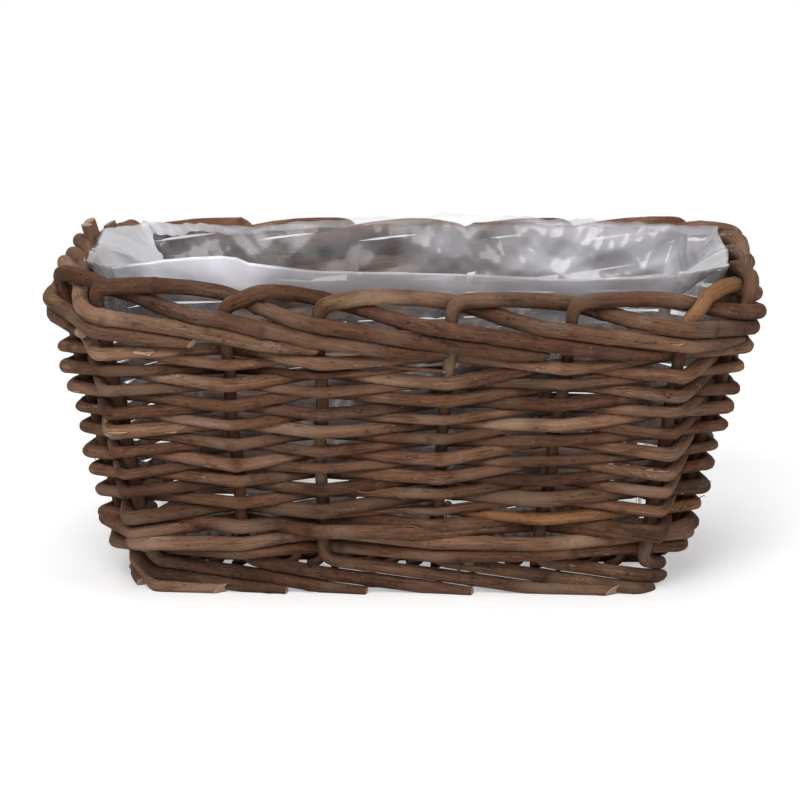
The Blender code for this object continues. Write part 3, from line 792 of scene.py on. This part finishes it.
# Folds of the film, coarse to fine: the pitch, the height and the count of each.
wall_folds = ((0.060, 0.0040, 5), (0.026, 0.0023, 8), (0.011, 0.0005, 6))
floor_folds = ((0.05, 0.0012, 4), (0.02, 0.0007, 6))
broad_lip_folds = ((0.034, 0.0046, 4),)
fine_lip_folds = ((0.010, 0.0012, 6),)
liner_edge_shares = (0.70, 1.00, 0.60, 0.50, 0.30, 0.50, 0.45, 0.55, 0.35, 0.50,
                     0.25, 0.40, 0.65, 0.45, 0.15, 0.25, 0.35, 0.25, 0.45, 0.50)
liner_lip_shares = (0.12, 0.12, 0.12, 0.12, 0.12, 0.21, 0.56, 0.75, 0.40, 0.18,
                    0.12, 0.12, 0.12, 0.12, 0.12, 0.45, 1.15, 1.15, 0.80, 0.20)
liner_fall_shares = (1.00, 1.00, 1.00, 0.80, 0.80, 1.00, 0.90, 0.90, 0.80, 0.40,
                     0.25, 0.25, 0.25, 0.25, 0.25, 0.40, 0.80, 0.95, 0.90, 0.90)
around = np.linspace(0, 20, film_columns + 1)[:-1]
stake_before = np.floor(around).astype(int)
past_stake = (around - stake_before)[:, None]


def round_rim(shares, ease=0.35):
    """Values given at the stakes carried on round the rim, eased a little at each stake."""
    part = past_stake[:, 0]
    part = part * (1 - ease) + ease * (1 - np.cos(math.pi * part)) / 2
    return np.interp(stake_before + part, np.arange(21), np.r_[shares, shares[0]])


def between_stakes(rows):
    """Rows given at the stakes, mixed in proportion at every place round the rim."""
    return rows[stake_before % 20] * (1 - past_stake) + rows[(stake_before + 1) % 20] * past_stake


def near_place(middle, reach, power):
    """One at a place round the rim, and an even fall to none at a reach from it, to a power."""
    return np.clip(1 - np.abs(around - middle) / reach, 0, 1) ** power


def creased(across, down, seed, folds):
    """Crumple of thin film: zigzag ridges, each row of them running its own way and strong in
    its own patches only, so that nearly flat facets meet in straight creases."""
    chance = np.random.default_rng(seed)
    total = np.zeros_like(across)
    for pitch, height, count in folds:
        for fold in range(count):
            lean = chance.uniform(-1.3, 1.3)
            along = (across * math.cos(lean) + down * math.sin(lean)) / (pitch * chance.uniform(0.7, 1.5))
            along = along + chance.random()
            along = along + 0.12 * np.sin(down / pitch * 2 + chance.random() * 6)
            zigzag = np.abs((along % 1.0) - 0.5) * 2
            turn = chance.random(2) * 6.3
            patch = np.sin(across / (pitch * 1.9) * chance.uniform(0.7, 1.3) + turn[0])
            patch = patch * np.sin(down / (pitch * 1.5) + turn[1])
            total += height * zigzag ** 1.3 * np.clip(patch * 2.0, 0, 1)
    return total


# The edge: uneven, with small waves only where it isn't drawn smooth.
facing = between_stakes(stake_facing(np.arange(20), np.full(20, border_low)))
rim_line = between_stakes(rim_places)
foot_line = between_stakes(foot_places)
girth = length_along(rim_line)
smooth_front = near_place(2.5, 3.0, 0.4)
smooth_left = near_place(16.8, 2.0, 0.5)
smooth_right = near_place(7.4, 2.4, 0.5)
smooth_ends = np.maximum(smooth_left, smooth_right)
top = wall_height + liner_stand * round_rim(liner_edge_shares)
edge_wave = 0.0004 * np.sin(girth * 150) + 0.0003 * np.sin(girth * 390 + 2)
top = top + edge_wave * (1 - np.maximum(smooth_front, smooth_ends))
top = top + 0.0022 * ramp(around, 1.28, -0.12) * ramp(around, 0.0, 0.5)

# The wall: it leans out between the stakes and is crumpled, less near the bottom and the edge.
climb = np.linspace(0, 1, wall_rows)[:, None]
level = liner_floor + (top - liner_floor) * climb
pillow = liner_pillow * np.sin(math.pi * past_stake[:, 0]) ** 2
pillow = pillow * ramp(level, border_low, -0.02) * ramp(level, 0.04, 0.02)
relief = creased(girth + 0 * level, level, 71, wall_folds)
relief = relief * (0.25 + 0.75 * ramp(level, 0.03, 0.02)) * (1 - 0.6 * climb ** 12)
calm = 1 - 0.85 * np.maximum(smooth_front, smooth_left) * ramp(level, 0.150, 0.012)
inset = liner_inset - pillow + relief * calm

# The lip: it goes on inwards from the edge and falls a little faster at its end.
slide = np.linspace(0, 1, lip_rows + 1)[1:, None]
lip_in = np.maximum(liner_lip_length * round_rim(liner_lip_shares, 0.6), liner_fold_gap)
lip_down = liner_lip_fall * round_rim(liner_fall_shares)
lip_run = slide * lip_in + 0.3
lip_broad = creased(girth + 0 * slide, lip_run, 72, broad_lip_folds)
lip_fine = creased(girth + 0 * slide, lip_run, 74, fine_lip_folds)
lip_relief = lip_broad + lip_fine * (1 - 0.9 * smooth_ends)
lip_inset = inset[-1] + lip_in * slide + liner_fold_gap * (1 - slide) * np.clip(slide * 8, 0, 1)
lip_level = top - lip_down * (0.75 * slide + 0.25 * slide ** 2)
lip_level = lip_level + lip_relief * np.clip(slide * 3, 0, 1) * np.clip(lip_in / 0.012, 0.1, 1)
inset = np.concatenate([inset, lip_inset])
level = np.concatenate([level, lip_level])
bag = foot_line + (rim_line - foot_line) * (level / wall_height)[..., None] - facing * inset[..., None]
bag[..., 2] = level

# The bottom: rings that shrink from the foot of the wall to a spine along the middle.
shrink = np.linspace(0, 1, floor_rows + 2)[1:-1, None, None]
floor_edge = bag[0]
spine_x = np.clip(floor_edge[:, 0], base_middle - liner_floor_spine, base_middle + liner_floor_spine)
spine = np.stack([spine_x, 0 * around, floor_edge[:, 2]], 1)
floor_spots = spine + (floor_edge - spine) * shrink
floor_relief = creased(floor_spots[..., 0], floor_spots[..., 1], 73, floor_folds)
floor_spots[..., 2] = liner_floor + 0.0002 + floor_relief * (1 - shrink[..., 0] ** 6)
bag = np.concatenate([spine[None], floor_spots, bag])
run = np.r_[0, np.cumsum(np.linalg.norm(np.diff(bag, axis=0), axis=2).mean(1))]
film_place = np.stack([girth + 0 * run[:, None], run[:, None] + 0 * girth, np.zeros(bag.shape[:2])], -1)
low = np.arange(len(bag) - 1)[:, None] * film_columns
film_squares = squares_between(low, low + film_columns, film_columns)

# Haze is how much the film hides, and milk how white it is: most at the front edge, at the back right and
# where the lip lies wide, least in the strip that stands above the rim at the back. Both drop low in the
# wall, which is painted shade in the gaps of the weave.
film_height = bag[..., 2]
wide_lip = ramp(lip_in, 0.004, 0.010)
near_front = ramp(around, 0.0, 0.4) * ramp(around, 5.0, -0.5) * (0.30 + 0.70 * ramp(around, 1.7, -0.4))
at_back = near_place(12.5, 3.5, 0.3)
back_right = near_place(10.2, 2.4, 0.5)
# Painted shade: below about 115 mm the film hides less and is greyer, so the gaps of the weave show dark.
high = ramp(film_height, 0.115, 0.035)
above_rim = ramp(film_height, 0.1695, 0.003) * at_back
haze = 0.14 + (0.24 - 0.04 * at_back + 0.40 * back_right) * high
haze = haze + 0.07 * np.sin(girth * 17 + 2.2) * np.sin(run[:, None] * 30)
haze = haze * (1 - 0.75 * above_rim)
haze = haze + 0.60 * near_front * ramp(film_height, 0.163, 0.006)
lip_haze = (0.36 - 0.26 * at_back) + 0.50 * np.maximum(wide_lip, near_front)
# Painted shade of the folds: where the lip lies wide, the film hides less where its broad folds rise, so
# these show darker.
haze[-lip_rows:] = lip_haze - 38 * lip_broad * wide_lip
milk = 0.16 + 0.84 * near_front * high + 0.50 * back_right * high + 0.6 * above_rim
milk[-lip_rows:] = 0.20 + 0.10 * wide_lip + 0.7 * near_front + 0.6 * at_back


def film_finish():
    """Clear polythene gone hazy: it hides what is behind it by the sum of its haze, clouds and painted
    glints, thin whiter lines along its ridged creases; it is whiter by its milk, and has a soft gloss broken
    by the same noise."""
    finish, node, shader = new_finish("polythene", (0.8, 0.8, 0.85, 0.5))
    place = node("Attribute", give="Vector", attribute_name="film_place")
    haze = node("Attribute", give="Fac", attribute_name="haze")
    milk = node("Attribute", give="Fac", attribute_name="milk")
    wave = node("TexNoise", {"Vector": place, "Scale": 20.0, "Detail": 2.0, "Distortion": 0.8})
    crinkle = node("TexNoise", {"Vector": place, "Scale": 30.0, "Detail": 2.0, "Distortion": 0.5},
                   noise_type="RIDGED_MULTIFRACTAL")
    # Painted glints: the film hides more, so it shows whiter, in thin lines along the ridged creases.
    painted_crease_glints = node("MapRange", {"Value": crinkle, "From Min": 1.12, "From Max": 1.45})
    cloud = node("MapRange", {"Value": wave, "From Min": 0.35, "From Max": 0.65, "To Min": -0.14,
                              "To Max": 0.16})
    veil = node("Math", {0: haze, 1: cloud}, operation="ADD", use_clamp=True)
    hidden = node("Math", {0: painted_crease_glints, 1: 0.22, 2: veil}, operation="MULTIPLY_ADD", use_clamp=True)
    tint = node("Mix", {0: milk, 6: (0.310, 0.292, 0.302, 1.0), 7: (0.800, 0.800, 0.860, 1.0)}, give=2,
                data_type="RGBA")
    gloss = node("MapRange", {"Value": wave, "To Min": 0.06, "To Max": 0.24})
    relief = node("Math", {0: crinkle, 1: 0.30, 2: wave}, operation="MULTIPLY_ADD")
    bump = node("Bump", {"Height": relief, "Strength": 0.6, "Distance": 0.0020})
    feed(shader, {"Base Color": tint, "Roughness": gloss, "Alpha": hidden, "Normal": bump,
                  "Specular IOR Level": 0.6})
    return finish


film_mesh = bpy.data.meshes.new("film_liner")
film_mesh.from_pydata(bag.reshape(-1, 3).tolist(), [], film_squares.tolist())
film_mesh.polygons.foreach_set("use_smooth", np.ones(len(film_mesh.polygons), bool))
add_values(film_mesh, "film_place", film_place)
add_values(film_mesh, "haze", haze)
add_values(film_mesh, "milk", milk)
film_mesh.materials.append(film_finish())
film_mesh.update()
film_liner = put_in_scene("film_liner", film_mesh)
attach(film_liner, "root")
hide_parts("liner")


# Ground and light: a plain pale floor that fades into white away from the basket, an even white
# surround, and three soft lamps, above the front, at the right and overhead.
far = 30
floor_lift = 0.34
surround_fill = 0.22


def ground_finish():
    """White floor that keeps the basket's soft shadow near it: for the camera alone it is lifted
    a little, and turns plain white with distance on a smooth step."""
    finish, node, shader = new_finish("pale_ground", (0.8, 0.8, 0.8, 1.0))
    camera_ray = node("LightPath", give="Is Camera Ray")
    lift = node("Math", {0: camera_ray, 1: floor_lift}, operation="MULTIPLY")
    place = node("TexCoord", give="Object")
    distance = node("VectorMath", {0: place}, give="Value", operation="LENGTH")
    fade = node("MapRange", {"Value": distance, "From Min": 0.22, "From Max": 0.60},
                interpolation_type="SMOOTHSTEP")
    seen = node("Math", {0: fade, 1: camera_ray}, operation="MULTIPLY")
    feed(shader, {"Base Color": (0.86, 0.86, 0.86, 1.0), "Roughness": 0.9,
                  "Emission Color": (1.0, 1.0, 1.0, 1.0), "Emission Strength": lift})
    mix = node("MixShader", {0: seen, 1: shader.outputs["BSDF"], 2: node("Emission")})
    feed(finish.node_tree.nodes["Material Output"], {"Surface": mix})
    return finish


ground_mesh = bpy.data.meshes.new("ground")
ground_mesh.from_pydata([(-far, -far, 0), (far, -far, 0), (far, far, 0), (-far, far, 0)], [], [(0, 1, 2, 3)])
ground_mesh.materials.append(ground_finish())
ground = put_in_scene("ground", ground_mesh)


def add_lamp(name, place, target, size, watts):
    """Square soft lamp at a place, tilted and swung by the angles of its way from a target."""
    data = bpy.data.lights.new(name, "AREA")
    data.size = size
    data.energy = watts
    lamp = put_in_scene(name, data)
    way = np.array(place) - np.array(target)
    lamp.location = place
    swing = math.atan2(way[1], way[0]) + math.pi / 2
    lamp.rotation_euler = (math.acos(way[2] / np.linalg.norm(way)), 0.0, swing)


add_lamp("lamp_front", (-0.4, -1.6, 1.5), (0.0, 0.0, 0.08), 1.2, 33.0)
add_lamp("lamp_right", (1.6, -0.9, 1.0), (0.0, 0.0, 0.08), 1.0, 7.0)
add_lamp("lamp_above", (0.0, 0.1, 2.0), (0.0, 0.0, 0.1), 1.4, 15.0)

world = bpy.data.worlds.new("surround")
world.use_nodes = True
bpy.context.scene.world = world
node = partial(add_node, world.node_tree)
rays = node("LightPath").node.outputs
seen = node("Math", {0: rays["Is Camera Ray"], 1: rays["Is Glossy Ray"]}, operation="MAXIMUM")
seen = node("Math", {0: seen, 1: rays["Is Transmission Ray"]}, operation="MAXIMUM")
strength = node("MapRange", {"Value": seen, "To Min": surround_fill, "To Max": 1.0})
feed(world.node_tree.nodes["Background"], {"Color": (1.0, 1.0, 1.0, 1.0), "Strength": strength})

bpy.context.scene.view_settings.view_transform = "Standard"
